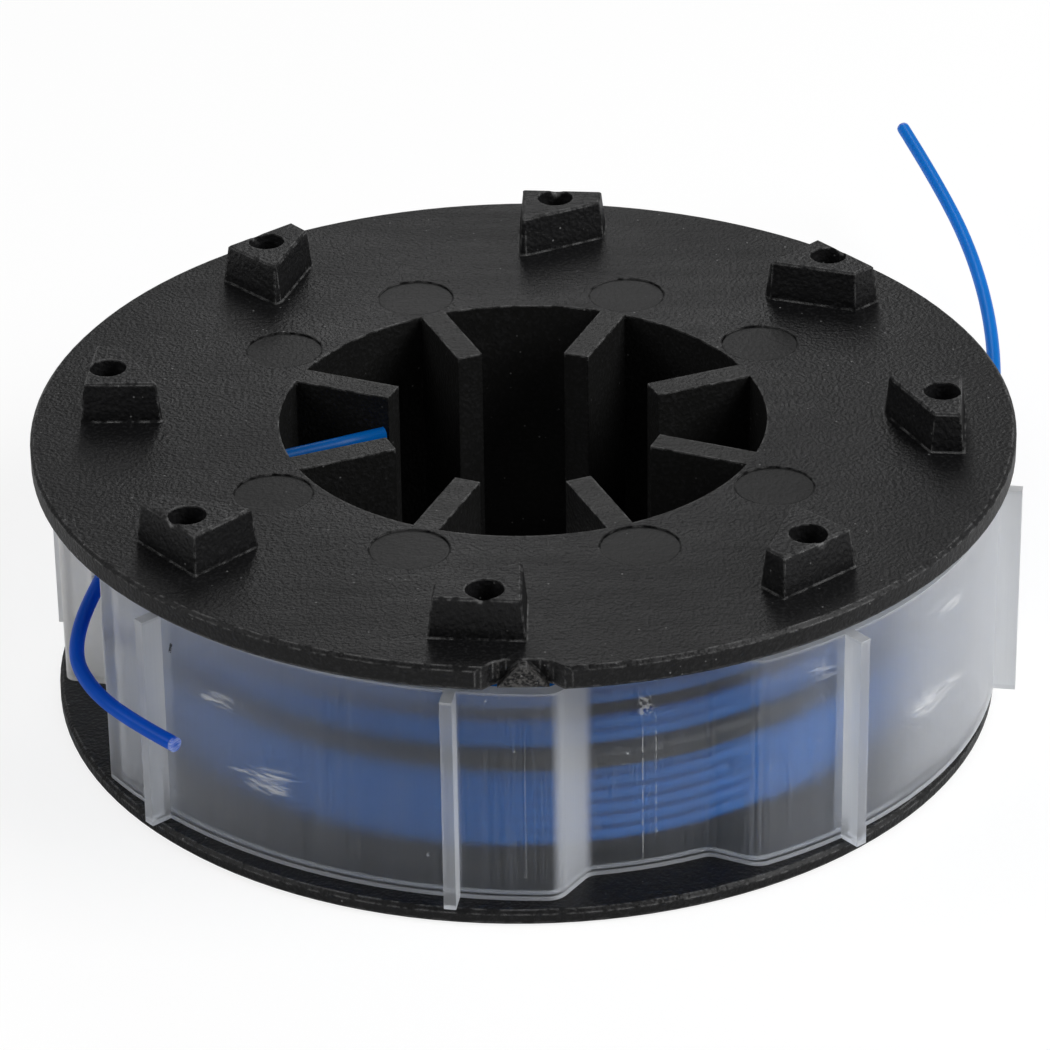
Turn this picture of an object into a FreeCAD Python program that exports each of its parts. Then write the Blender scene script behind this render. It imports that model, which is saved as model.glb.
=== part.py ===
import FreeCAD, Part
import Sketcher
import math
import os

# Trimmer line spool: one black moulding with two line chambers, a winding of blue line in each chamber,
# a closed frosted retaining band round both windings, and the two free ends of the line.
# Frame: origin at the centre of the lower flange's underside, +Z up through the bore,
# +X to the right and +Y away from the side that carries the moulding gate. Millimetres and degrees.

doc = FreeCAD.newDocument("TrimmerLineSpool")
sheet = doc.addObject("Spreadsheet::Sheet", "Sizes")

SIZES = [
    # Spool: the overall height and the three flanges
    ("spool_height", 29.6),
    ("top_flange_radius", 50.0),
    ("top_flange_thick", 2.5),
    ("mid_flange_radius", 41.0),
    ("mid_flange_thick", 2.0),
    ("low_chamber_height", 11.0),
    ("low_flange_radius", 48.5),
    ("low_flange_thick", 1.6),
    ("rim_chamfer", 0.35),
    # Spool: the hub and the ribs inside it
    ("bore_radius", 24.8),
    ("hub_wall", 2.2),
    ("rib_count", 8),
    ("rib_thick", 2.7),
    ("rib_tip_radius", 14.4),
    ("rib_turn", 22.1),
    # Spool: the drive lugs on the top flange, each in its own radial and tangential directions
    ("lug_count", 8),
    ("lug_turn", -5.2),
    ("lug_height", 4.2),
    ("lug_reach", 44.75),
    ("lug_length", 8.15),
    ("lug_blunt_length", 3.3),
    ("lug_lead", 4.1),
    ("lug_trail", 5.3),
    ("lug_tip_lead", 3.5),
    ("lug_tip_width", 0.8),
    ("lug_draft", 6.0),
    ("lug_edge", 0.2),
    ("lug_hole_radius", 1.9),
    ("lug_hole_place", 42.4),
    ("lug_hole_depth", 4.8),
    # Spool: the round ejector marks and the gate recess in the top flange
    ("mark_radius", 3.95),
    ("mark_depth", 0.15),
    ("side_mark_across", 24.8),
    ("side_mark_along", 15.4),
    ("end_mark_across", 11.2),
    ("end_mark_along", 27.0),
    ("gate_aside", -0.35),
    ("gate_mouth", 8.9),
    ("gate_floor", 4.6),
    ("gate_depth", 1.9),
    ("gate_round", 0.7),
    ("gate_stub_width", 4.9),
    ("gate_stub_height", 2.25),
    ("gate_stub_length", 1.0),
    # Line: its thickness, how it is laid in the chambers and how its inner ends are anchored
    ("line_diameter", 1.5),
    ("winding_radius", 40.0),
    ("winding_clearance", 0.15),
    ("upper_turn_count", 8),
    ("upper_missing_turn", 2),
    ("lower_turn_count", 6),
    ("lower_first_turn", 2.6),
    ("anchor_hole_radius", 1.2),
    ("anchor_hole_overrun", 3.0),
    ("anchor_drop", 1.4),
    ("anchor_slant", 24.5),
    ("anchor_offset", 9.4),
    ("anchor_end", 11.4),
    # Line: where each free end lifts off its winding
    ("left_lift_turn", 166.0),
    ("left_lift_height", 2.4),
    ("right_lift_turn", -20.0),
    ("right_lift_height", 7.7),
    ("lift_length", 13.0),
    # Retaining band: in its own frame the line exits are on the X axis and the two recesses on the Y axis
    ("band_turn", 15.3),
    ("band_shift_across", 0.5),
    ("band_shift_along", 0.1),
    ("band_height", 23.2),
    ("band_wall", 1.3),
    ("flat_side_radius", 46.6),
    ("full_side_radius", 47.8),
    ("recess_mouth_radius", 46.8),
    ("recess_mouth_angle", 12.4),
    ("recess_floor_radius", 42.8),
    ("recess_floor_angle", 8.2),
    ("recess_round", 1.6),
    ("exit_skew", 1.2),
    ("exit_mouth_radius", 48.3),
    ("exit_mouth_angle", 11.5),
    ("exit_floor_radius", 44.2),
    ("exit_floor_angle", 9.8),
    ("exit_round", 0.5),
    ("window_start", 1.0),
    ("window_width", 9.6),
    ("window_height", 7.4),
    ("left_window_sill", 11.2),
    ("right_window_sill", 4.6),
    ("fin_length", 2.2),
    ("fin_thick", 1.2),
    ("near_fin_angle", 25.0),
    ("far_fin_angle", 65.2),
]
for row, (alias, number) in enumerate(SIZES, 1):
    sheet.set(f"A{row}", alias)
    sheet.set(f"B{row}", str(number))
    sheet.setAlias(f"B{row}", alias)
doc.recompute()


def plain(number):
    """A number as text that an expression can read."""
    return f"({number:.6f})"


class Size:
    """A length or an angle that knows its value and the sheet expression that gives it."""

    def __init__(self, value, text):
        self.value = value
        self.text = text

    def joined(self, sign, other, value):
        text = other.text if isinstance(other, Size) else plain(other)
        return Size(value, f"({self.text} {sign} {text})")

    def __add__(self, other):
        return self.joined("+", other, self.value + amount(other))

    def __sub__(self, other):
        return self.joined("-", other, self.value - amount(other))

    def __mul__(self, other):
        return self.joined("*", other, self.value * amount(other))

    def __truediv__(self, other):
        return self.joined("/", other, self.value / amount(other))

    def __neg__(self):
        return self * -1


def amount(item):
    """The number behind a Size, or the number itself."""
    return item.value if isinstance(item, Size) else float(item)


def size(alias):
    """The named cell of the sheet."""
    return Size(float(sheet.get(alias)), f"Sizes.{alias}")


def bind(target, path, item):
    """Ties a property or a constraint to the sheet."""
    target.setExpression(path, item.text)


def origin_part(body, role):
    """One of a body's own origin planes or axes."""
    return next(item for item in body.Origin.OriginFeatures if item.Role == role)


def polygon(body, name, plane, corners, lift=None, turn=None):
    """A closed sketch of straight lines whose corners are all bound to the sheet."""
    sketch = body.newObject("Sketcher::SketchObject", name)
    sketch.AttachmentSupport = (origin_part(body, plane), [""])
    sketch.MapMode = "FlatFace"
    place_on_plane(sketch, lift, turn)
    points = [FreeCAD.Vector(amount(x), amount(y), 0) for x, y in corners]
    for start, end in zip(points, points[1:] + points[:1]):
        sketch.addGeometry(Part.LineSegment(start, end), False)
    for index, corner in enumerate(corners):
        after = (index + 1) % len(corners)
        sketch.addConstraint(Sketcher.Constraint("Coincident", index, 2, after, 1))
        for kind, item in zip(("DistanceX", "DistanceY"), corner):
            rule = sketch.addConstraint(Sketcher.Constraint(kind, -1, 1, index, 1, amount(item)))
            if isinstance(item, Size):
                sketch.setExpression(f"Constraints[{rule}]", item.text)
    return sketch


def disc(body, name, radius, across, along, lift, turn=None):
    """A sketch of one circle on a plane that lies level in the body."""
    sketch = body.newObject("Sketcher::SketchObject", name)
    sketch.AttachmentSupport = (origin_part(body, "XY_Plane"), [""])
    sketch.MapMode = "FlatFace"
    place_on_plane(sketch, lift, turn)
    centre = FreeCAD.Vector(amount(across), amount(along), 0)
    sketch.addGeometry(Part.Circle(centre, FreeCAD.Vector(0, 0, 1), radius.value), False)
    rule = sketch.addConstraint(Sketcher.Constraint("Radius", 0, radius.value))
    bind(sketch, f"Constraints[{rule}]", radius)
    for kind, item in (("DistanceX", across), ("DistanceY", along)):
        rule = sketch.addConstraint(Sketcher.Constraint(kind, -1, 1, 0, 3, amount(item)))
        if isinstance(item, Size):
            bind(sketch, f"Constraints[{rule}]", item)
    return sketch


def place_on_plane(sketch, lift, turn):
    """Raises a sketch above its plane and turns it about the plane's normal."""
    angle = turn.value if turn else 0.0
    height = lift.value if lift else 0.0
    spin = FreeCAD.Rotation(FreeCAD.Vector(0, 0, 1), angle)
    sketch.AttachmentOffset = FreeCAD.Placement(FreeCAD.Vector(0, 0, height), spin)
    if lift:
        bind(sketch, "AttachmentOffset.Base.z", lift)
    if turn:
        bind(sketch, "AttachmentOffset.Rotation.Angle", turn)


def revolve(body, name, sketch):
    """Turns a half section about the spool's axis."""
    feature = body.newObject("PartDesign::Revolution", name)
    feature.Profile = sketch
    feature.ReferenceAxis = (origin_part(body, "Z_Axis"), [""])
    feature.Angle = 360
    return feature


def pad(body, name, sketch, length, draft=None):
    """Pads a sketch along its normal, leaning inwards by the draft."""
    feature = body.newObject("PartDesign::Pad", name)
    feature.Profile = sketch
    feature.Length = length.value
    bind(feature, "Length", length)
    if draft:
        feature.TaperAngle = -amount(draft)
        feature.setExpression("TaperAngle", (-draft).text)
    return feature


def pocket(body, name, sketch, depth):
    """Cuts a sketch down from the plane that it lies on."""
    feature = body.newObject("PartDesign::Pocket", name)
    feature.Profile = sketch
    feature.Length = depth.value
    bind(feature, "Length", depth)
    return feature


def around(body, name, originals, count):
    """Repeats features evenly round the spool's axis."""
    feature = body.newObject("PartDesign::PolarPattern", name)
    feature.Originals = originals
    feature.Axis = (origin_part(body, "Z_Axis"), [""])
    feature.Angle = 360
    feature.Occurrences = int(count.value)
    bind(feature, "Occurrences", count)
    body.Tip = feature
    return feature


def bar(body, kind, name, radius, length, base, direction):
    """A round bar or a round hole from a point along a direction."""
    feature = body.newObject(kind, name)
    feature.Radius = radius.value
    feature.Height = length.value
    bind(feature, "Radius", radius)
    bind(feature, "Height", length)
    feature.AttachmentSupport = (origin_part(body, "XY_Plane"), [""])
    feature.MapMode = "FlatFace"
    spin = FreeCAD.Rotation(FreeCAD.Vector(0, 0, 1), direction)
    feature.AttachmentOffset = FreeCAD.Placement(base, spin)
    return feature


def must_change(before, body, grows, what):
    """Stops if a feature added or cut nothing."""
    doc.recompute()
    after = body.Shape.Volume
    if (after <= before) if grows else (after >= before):
        raise RuntimeError(f"{what} changed nothing: {before:.2f} to {after:.2f}")
    return after


# Heights and radii that several pieces share

height = size("spool_height")
top_under = height - size("top_flange_thick")
low_over = size("low_flange_thick")
mid_under = low_over + size("low_chamber_height")
mid_over = mid_under + size("mid_flange_thick")
hub_radius = size("bore_radius") + size("hub_wall")
line_radius = size("line_diameter") / 2
turn_radius = size("winding_radius") - line_radius

# The anchors: each line's inner end runs through a slanted hole in the hub, just under its chamber's roof

anchor_rise = {"upper": top_under - size("anchor_drop"), "lower": mid_under - size("anchor_drop")}
anchor_side = {"upper": 180.0, "lower": 0.0}


def anchor_direction(chamber):
    """The way that the inner end points, into the bore."""
    angle = math.radians(anchor_side[chamber] + 180.0 + size("anchor_slant").value)
    return FreeCAD.Vector(math.cos(angle), math.sin(angle), 0)


def anchor_point(chamber, from_middle):
    """A point of the anchor's axis, so far back from the middle of the bore."""
    direction = anchor_direction(chamber)
    aside = FreeCAD.Vector(-direction.y, direction.x, 0) * size("anchor_offset").value
    point = aside - direction * from_middle
    point.z = anchor_rise[chamber].value
    return point


# The spool: flanges and hub in one revolved section

def spool_section():
    bore = size("bore_radius")
    top = size("top_flange_radius")
    mid = size("mid_flange_radius")
    low = size("low_flange_radius")
    edge = size("rim_chamfer")
    return [
        (bore, 0),
        (low - edge, 0),
        (low, edge),
        (low, low_over - edge),
        (low - edge, low_over),
        (hub_radius, low_over),
        (hub_radius, mid_under),
        (mid - edge, mid_under),
        (mid, mid_under + edge),
        (mid, mid_over - edge),
        (mid - edge, mid_over),
        (hub_radius, mid_over),
        (hub_radius, top_under),
        (top - edge, top_under),
        (top, top_under + edge),
        (top, height - edge),
        (top - edge, height),
        (bore, height),
    ]


def add_ribs(body):
    """Eight straight ribs from the bore's wall towards its middle."""
    half = size("rib_thick") / 2
    tip = size("rib_tip_radius")
    root = size("bore_radius") + size("hub_wall") / 2
    corners = [(tip, -half), (root, -half), (root, half), (tip, half)]
    sketch = polygon(body, "RibSketch", "XY_Plane", corners, turn=size("rib_turn"))
    rib = pad(body, "Rib", sketch, height)
    around(body, "Ribs", [rib], size("rib_count"))


NO_INSET = Size(0.0, "0")
CROWN_SLOPE = Size(45.0, "45")
# A lug's long slanting side meets its neighbours at wide angles, so its corners move by less than an inset
WIDE_CORNER_MOVE = 0.57
TIP_CORNER_MOVE = 0.28


def lug_corners(inset):
    """The wedge-shaped plan of a drive lug, its narrow tip cut blunt, drawn in by the inset all round."""
    outer = size("lug_reach") - inset
    inner = size("lug_reach") - size("lug_length") + inset
    lead = size("lug_lead") - inset
    trail = -(size("lug_trail") - inset)
    tip_lead = size("lug_tip_lead") - inset
    blunt = size("lug_reach") - size("lug_blunt_length") + inset * WIDE_CORNER_MOVE
    tip_trail = size("lug_tip_lead") - size("lug_tip_width") + inset * TIP_CORNER_MOVE
    return [(inner, tip_lead), (inner, tip_trail), (blunt, trail), (outer, trail), (outer, lead)]


def add_lugs(body):
    """Eight drafted wedges with a broken top edge and a round blind hole close to the outer face."""
    turn = size("lug_turn")
    draft = size("lug_draft")
    edge = size("lug_edge")
    flank = size("lug_height") - edge
    foot = polygon(body, "LugSketch", "XY_Plane", lug_corners(NO_INSET), height, turn)
    wedge = pad(body, "Lug", foot, flank, draft)
    lean = flank * math.tan(math.radians(draft.value))
    lean = Size(lean.value, f"({flank.text} * tan({draft.text}))")
    crown_sketch = polygon(body, "LugCrownSketch", "XY_Plane", lug_corners(lean), height + flank, turn)
    crown = pad(body, "LugCrown", crown_sketch, edge, CROWN_SLOPE)
    lug_top = height + size("lug_height")
    place = size("lug_hole_place")
    hole_sketch = disc(body, "LugHoleSketch", size("lug_hole_radius"), place, 0, lug_top, turn)
    hole = pocket(body, "LugHole", hole_sketch, size("lug_hole_depth"))
    around(body, "Lugs", [wedge, crown, hole], size("lug_count"))


def add_marks(body):
    """Shallow round ejector marks, mirrored left to right and front to back."""
    places = {
        "Side": (size("side_mark_across"), size("side_mark_along")),
        "End": (size("end_mark_across"), size("end_mark_along")),
    }
    radius = size("mark_radius")
    for name, (across, along) in places.items():
        for way, (right, far) in enumerate(((1, 1), (-1, 1), (-1, -1), (1, -1)), 1):
            sketch = disc(body, f"{name}Mark{way}Sketch", radius, across * right, along * far, height)
            pocket(body, f"{name}Mark{way}", sketch, size("mark_depth"))


# The recess's flanks lie at about 41 degrees: one length along a flank is these shares across and inwards
FLANK_ACROSS = 0.75
FLANK_INWARDS = 0.65
# The stub's gable has a shoulder on each side and a narrow peak, as shares of its half width and its height
SHOULDER = (0.42, 0.72)
PEAK_WIDTH = 0.14


def add_gate(body):
    """A recess in the rim of the top flange with the broken, gabled stub of the moulding gate in it."""
    rim = size("top_flange_radius")
    floor = rim - size("gate_depth")
    mouth = size("gate_mouth") / 2
    bed = size("gate_floor") / 2
    soft = size("gate_round")
    right_half = [
        (mouth + soft, -(rim + 1)),
        (mouth + soft, -rim),
        (mouth - soft * FLANK_ACROSS, soft * FLANK_INWARDS - rim),
        (bed + soft * FLANK_ACROSS, -(floor + soft * FLANK_INWARDS)),
        (bed - soft, -floor),
    ]
    left_half = [(-across, along) for across, along in reversed(right_half)]
    corners = [(across + size("gate_aside"), along) for across, along in right_half + left_half]
    recess = polygon(body, "GateSketch", "XY_Plane", corners, lift=height)
    pocket(body, "Gate", recess, size("top_flange_thick"))
    foot = size("gate_stub_width") / 2
    peak = size("gate_stub_height")
    right_slope = [
        (foot, top_under),
        (foot * SHOULDER[0], top_under + peak * SHOULDER[1]),
        (foot * PEAK_WIDTH, top_under + peak),
    ]
    left_slope = [(-across, up) for across, up in reversed(right_slope)]
    gable = [(across + size("gate_aside"), up) for across, up in right_slope + left_slope]
    stub = polygon(body, "GateStubSketch", "XZ_Plane", gable, lift=floor - 1)
    pad(body, "GateStub", stub, size("gate_stub_length") + 1)


def add_anchor_holes(body):
    """One slanted hole through the hub for the inner end of each line."""
    for chamber in ("upper", "lower"):
        reach = hub_radius + size("anchor_hole_overrun")
        length = reach - size("rib_tip_radius")
        bar(
            body, "PartDesign::SubtractiveCylinder", f"{chamber.title()}AnchorHole",
            size("anchor_hole_radius"), length,
            anchor_point(chamber, reach.value), anchor_direction(chamber),
        )


def make_spool():
    body = doc.addObject("PartDesign::Body", "Spool")
    body.Label = "spool"
    revolve(body, "Turned", polygon(body, "SectionSketch", "XZ_Plane", spool_section()))
    doc.recompute()
    volume = body.Shape.Volume
    for step, grows, what in (
        (add_ribs, True, "the ribs"),
        (add_lugs, True, "the lugs"),
        (add_marks, False, "the ejector marks"),
        (add_gate, False, "the gate recess"),
        (add_anchor_holes, False, "the anchor holes"),
    ):
        step(body)
        volume = must_change(volume, body, grows, what)
    return body


# The windings: a ring of laid line with its outer turns standing proud, and both ends of its line

# An outer turn's ridge in line diameters: how proud it stands, half its flat crest and how deep its root is
TURN_PROUD = 0.6
TURN_CREST = 0.2
TURN_ROOT = 0.3


def make_winding(chamber, floor, roof, first_turn, turn_count, missing_turn, lift_turn, lift_height):
    body = doc.addObject("PartDesign::Body", f"{chamber.title()}Winding")
    body.Label = f"{chamber}_winding"
    line = size("line_diameter")
    inner = hub_radius + size("winding_clearance")
    crown = size("winding_radius")
    bed = crown - line * TURN_PROUD
    top = roof - size("winding_clearance")
    core = [(inner, floor), (bed, floor), (bed, top), (inner, top)]
    revolve(body, "Core", polygon(body, "CoreSketch", "XZ_Plane", core))
    root = bed - line * TURN_ROOT
    turn = [
        (root, first_turn - line * 0.5),
        (bed, first_turn - line * 0.5),
        (crown, first_turn - line * TURN_CREST),
        (crown, first_turn + line * TURN_CREST),
        (bed, first_turn + line * 0.5),
        (root, first_turn + line * 0.5),
    ]
    outer_turn = revolve(body, "OuterTurn", polygon(body, "TurnSketch", "XZ_Plane", turn))
    turns = body.newObject("PartDesign::LinearPattern", "OuterTurns")
    turns.Originals = [outer_turn]
    turns.Direction = (origin_part(body, "Z_Axis"), [""])
    turns.Occurrences = int(turn_count.value)
    bind(turns, "Occurrences", turn_count)
    turns.Length = (line * (turn_count - 1)).value
    bind(turns, "Length", line * (turn_count - 1))
    body.Tip = turns
    doc.recompute()
    volume = body.Shape.Volume
    if missing_turn:
        low = first_turn + line * (missing_turn - 0.5)
        gap = [(bed, low), (crown + 1, low), (crown + 1, low + line), (bed, low + line)]
        groove = body.newObject("PartDesign::Groove", "MissingTurn")
        groove.Profile = polygon(body, "MissingTurnSketch", "XZ_Plane", gap)
        groove.ReferenceAxis = (origin_part(body, "Z_Axis"), [""])
        groove.Angle = 360
        volume = must_change(volume, body, False, "the missing turn")
    start = inner + line
    length = start - size("anchor_end")
    bar(
        body, "PartDesign::AdditiveCylinder", "InnerEnd", line_radius, length,
        anchor_point(chamber, start.value), anchor_direction(chamber),
    )
    volume = must_change(volume, body, True, "the inner end")
    base, direction = lift_off(lift_turn, floor + lift_height)
    bar(body, "PartDesign::AdditiveCylinder", "LiftOff", line_radius, size("lift_length"), base, direction)
    must_change(volume, body, True, "the lift-off")
    return body


def lift_off(lift_turn, rise):
    """Where the outer turn leaves its winding, and the way that it points there."""
    angle = math.radians(lift_turn.value)
    outwards = FreeCAD.Vector(math.cos(angle), math.sin(angle), 0)
    base = outwards * turn_radius.value
    base.z = rise.value
    return base, FreeCAD.Vector(-outwards.y, outwards.x, 0)


# The free ends of the line: straight runs joined by arcs that touch them

def free_end(label, lift_turn, rise, route):
    base, direction = lift_off(lift_turn, rise)
    points = [base + direction * size("lift_length").value] + [FreeCAD.Vector(*point) for point in route]
    edges = []
    start = points[0]
    radii = []
    for before, corner, after in zip(points, points[1:], points[2:]):
        back = before - corner
        ahead = after - corner
        half_turn = (math.pi - back.getAngle(ahead)) / 2
        cut = 0.45 * min(back.Length, ahead.Length)
        radii.append(cut / math.tan(half_turn))
        back.normalize()
        ahead.normalize()
        arc_start = corner + back * cut
        arc_end = corner + ahead * cut
        middle = back + ahead
        middle.normalize()
        sag = radii[-1] * (1 / math.cos(half_turn) - 1)
        edges.append(Part.LineSegment(start, arc_start).toShape())
        edges.append(Part.Arc(arc_start, corner + middle * sag, arc_end).toShape())
        start = arc_end
    edges.append(Part.LineSegment(start, points[-1]).toShape())
    path = Part.Wire(edges)
    first = points[1] - points[0]
    section = Part.Wire([Part.makeCircle(line_radius.value, points[0], first)])
    tube = path.makePipeShell([section], True, False)
    expected = math.pi * line_radius.value ** 2 * path.Length
    print(label, "length", round(path.Length, 2), "radii", [round(radius, 1) for radius in radii])
    if abs(tube.Volume - expected) > 0.01 * expected:
        raise RuntimeError(f"{label} has volume {tube.Volume:.2f}, not {expected:.2f}")
    tail = doc.addObject("Part::Feature", label.title().replace("_", ""))
    tail.Label = label
    tail.Shape = tube
    tail.Placement = FreeCAD.Placement()
    return tail


# Routes chosen by hand along the free ends as they lie, past the point where each leaves its winding
LEFT_ROUTE = [
    (-43.7, -13.0, 17.0),
    (-44.8, -23.7, 16.8),
    (-43.0, -29.7, 16.4),
    (-39.0, -35.3, 16.0),
    (-33.8, -40.0, 15.7),
]
RIGHT_ROUTE = [
    (47.4, 15.4, 9.3),
    (51.3, 32.9, 10.0),
    (53.0, 50.6, 10.7),
    (52.6, 67.9, 11.6),
    (50.2, 85.3, 12.6),
    (46.4, 102.2, 13.6),
]


# The retaining band: a thin closed wall with two shallow recesses, two line exits and eight outer fins

def polar(radius, angle):
    return FreeCAD.Vector(radius * math.cos(math.radians(angle)), radius * math.sin(math.radians(angle)), 0)


def side_points(side, recess, way, inset, recess_high, exit_high):
    """Three points of the wall between a recess and an exit, at either side of that recess."""
    exit_middle = recess + way * 90 + size("exit_skew").value
    return (
        polar(size("recess_mouth_radius").value - inset, recess + way * recess_high),
        polar(size(side).value - inset, recess + way * 45),
        polar(size("exit_mouth_radius").value - inset, exit_middle - way * exit_high),
    )


# How much of the inset the steep flanks of an exit and the gentler ones of a recess move along the wall
EXIT_FLANK_SHARE = 0.9
RECESS_FLANK_SHARE = 0.35


def band_outline(inset):
    """The band's outline with sharp corners, as stretches of arc joined by short straight flanks."""
    widening = math.degrees(inset / size("exit_mouth_radius").value)
    exit_floor = size("exit_floor_radius").value - inset
    exit_low = size("exit_floor_angle").value + widening * EXIT_FLANK_SHARE
    exit_high = size("exit_mouth_angle").value + widening * EXIT_FLANK_SHARE
    recess_floor = size("recess_floor_radius").value - inset
    recess_low = size("recess_floor_angle").value + widening * RECESS_FLANK_SHARE
    recess_high = size("recess_mouth_angle").value + widening * RECESS_FLANK_SHARE
    stretches = []
    for recess in (90, 270):
        middle = recess - 90 + size("exit_skew").value
        stretches.append([polar(exit_floor, middle + way * exit_low) for way in (-1, 0, 1)])
        flat = side_points("flat_side_radius", recess, -1, inset, recess_high, exit_high)
        stretches.append(flat[::-1])
        stretches.append([polar(recess_floor, recess + way * recess_low) for way in (-1, 0, 1)])
        stretches.append(side_points("full_side_radius", recess, 1, inset, recess_high, exit_high))
    edges = []
    for stretch, following in zip(stretches, stretches[1:] + stretches[:1]):
        edges.append(Part.Arc(*stretch).toShape())
        edges.append(Part.LineSegment(stretch[2], following[0]).toShape())
    return Part.Wire(edges)


def corner_edges(block, place, inset, at_mouth):
    """The upright edges at the mouths or at the floors of the recesses or of the exits."""
    between = (size(f"{place}_mouth_radius").value + size(f"{place}_floor_radius").value) / 2 - inset
    chosen = []
    for edge in block.Edges:
        ends = [vertex.Point for vertex in edge.Vertexes]
        if len(ends) != 2 or abs(ends[0].z - ends[1].z) < size("band_height").value / 2:
            continue
        by_recess = abs(ends[0].x) < abs(ends[0].y)
        outside = math.hypot(ends[0].x, ends[0].y) > between
        if by_recess == (place == "recess") and outside == at_mouth:
            chosen.append(edge)
    return chosen


def rounded_block(inset):
    """The outline as a block, its upright corners rounded wider on the outside of each bend."""
    block = Part.Face(band_outline(inset)).extrude(FreeCAD.Vector(0, 0, size("band_height").value))
    for place in ("recess", "exit"):
        tight = size(f"{place}_round").value
        wide = tight + size("band_wall").value * 0.5
        for at_mouth in (True, False):
            outside_bend = at_mouth == (inset == 0)
            radius = wide if outside_bend else tight
            block = block.makeFillet(radius, corner_edges(block, place, inset, at_mouth))
    return block


def wall_reach(points, angle):
    """How far out the wall's arc through three points lies at an angle."""
    circle = Part.Arc(*points).toShape().Curve
    along = polar(1, angle).dot(circle.Center)
    return along + math.sqrt(along ** 2 - circle.Center.dot(circle.Center) + circle.Radius ** 2)


def make_fin(number, recess, way, apart):
    """One upright fin that stands out from the wall, rooted in its thickness."""
    side = "full_side_radius" if way > 0 else "flat_side_radius"
    angle = recess + way * apart.value
    mouths = (size("recess_mouth_angle").value, size("exit_mouth_angle").value)
    reach = wall_reach(side_points(side, recess, way, 0, *mouths), angle)
    root = reach - size("band_wall").value / 2
    fin = doc.addObject("Part::Box", f"Fin{number}")
    bind(fin, "Length", size("fin_length") + size("band_wall") / 2)
    bind(fin, "Width", size("fin_thick"))
    bind(fin, "Height", size("band_height"))
    spin = FreeCAD.Rotation(FreeCAD.Vector(0, 0, 1), angle)
    corner = FreeCAD.Vector(root, -size("fin_thick").value / 2, 0)
    fin.Placement = FreeCAD.Placement(spin.multVec(corner), spin)
    return fin


def make_window(name, turn, sill):
    """The hole for the line in an exit, cut through the floor and the inner end of one flank."""
    window = doc.addObject("Part::Box", name)
    depth = size("band_wall") * 4
    bind(window, "Length", depth)
    bind(window, "Width", size("window_width"))
    bind(window, "Height", size("window_height"))
    spin = FreeCAD.Rotation(FreeCAD.Vector(0, 0, 1), turn + size("exit_skew").value)
    outer_face = size("exit_floor_radius").value + 0.2
    aside = -(size("window_start") + size("window_width")).value
    corner = FreeCAD.Vector(outer_face - depth.value, aside, sill.value)
    window.Placement = FreeCAD.Placement(spin.multVec(corner), spin)
    return window


def make_band():
    wall = doc.addObject("Part::Feature", "BandWall")
    wall.Shape = rounded_block(0).cut(rounded_block(size("band_wall").value))
    fins = []
    for recess in (90, 270):
        for apart in (size("near_fin_angle"), size("far_fin_angle")):
            for way in (-1, 1):
                fins.append(make_fin(len(fins) + 1, recess, way, apart))
    finned = doc.addObject("Part::MultiFuse", "FinnedWall")
    finned.Shapes = [wall] + fins
    finned.Refine = True
    windows = doc.addObject("Part::MultiFuse", "Windows")
    windows.Shapes = [
        make_window("RightWindow", 0, size("right_window_sill")),
        make_window("LeftWindow", 180, size("left_window_sill")),
    ]
    band = doc.addObject("Part::Cut", "RetainingBand")
    band.Base = finned
    band.Tool = windows
    band.Refine = True
    band.Label = "retaining_band"
    spin = FreeCAD.Rotation(FreeCAD.Vector(0, 0, 1), size("band_turn").value)
    shift = FreeCAD.Vector(size("band_shift_across").value, size("band_shift_along").value, low_over.value)
    band.Placement = FreeCAD.Placement(shift, spin)
    bind(band, "Placement.Base.x", size("band_shift_across"))
    bind(band, "Placement.Base.y", size("band_shift_along"))
    bind(band, "Placement.Base.z", low_over)
    doc.recompute()
    if band.Shape.Volume >= finned.Shape.Volume:
        raise RuntimeError("the line exits cut nothing from the band")
    return band


def checked(pieces):
    """Stops unless every object is in order and every piece is one valid solid."""
    for item in doc.Objects:
        if "Invalid" in item.State or "Error" in item.State:
            raise RuntimeError(f"{item.Label} is in state {item.State}")
    for piece in pieces:
        shape = piece.Shape
        if shape.isNull() or not shape.isValid() or len(shape.Solids) != 1:
            raise RuntimeError(f"{piece.Label} isn't one valid solid")
    return pieces


spool = make_spool()
upper_first_turn = mid_over + line_radius
upper_winding = make_winding(
    "upper", mid_over, top_under, upper_first_turn, size("upper_turn_count"), size("upper_missing_turn"),
    size("left_lift_turn"), size("left_lift_height"),
)
lower_winding = make_winding(
    "lower", low_over, mid_under, low_over + size("lower_first_turn"), size("lower_turn_count"), None,
    size("right_lift_turn"), size("right_lift_height"),
)
left_rise = mid_over + size("left_lift_height")
right_rise = low_over + size("right_lift_height")
left_end = free_end("left_line_end", size("left_lift_turn"), left_rise, LEFT_ROUTE)
right_end = free_end("right_line_end", size("right_lift_turn"), right_rise, RIGHT_ROUTE)
band = make_band()
doc.recompute()
os.makedirs("parts", exist_ok=True)
for piece in checked([spool, upper_winding, lower_winding, left_end, right_end, band]):
    piece.Shape.exportStep(f"parts/{piece.Label}.step")
    box = piece.Shape.BoundBox
    sides = (box.XMin, box.XMax, box.YMin, box.YMax, box.ZMin, box.ZMax)
    print(piece.Label, round(piece.Shape.Volume, 1), "mm3", [round(side, 2) for side in sides])
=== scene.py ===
import math

import bpy
from mathutils import Matrix, Vector


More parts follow.
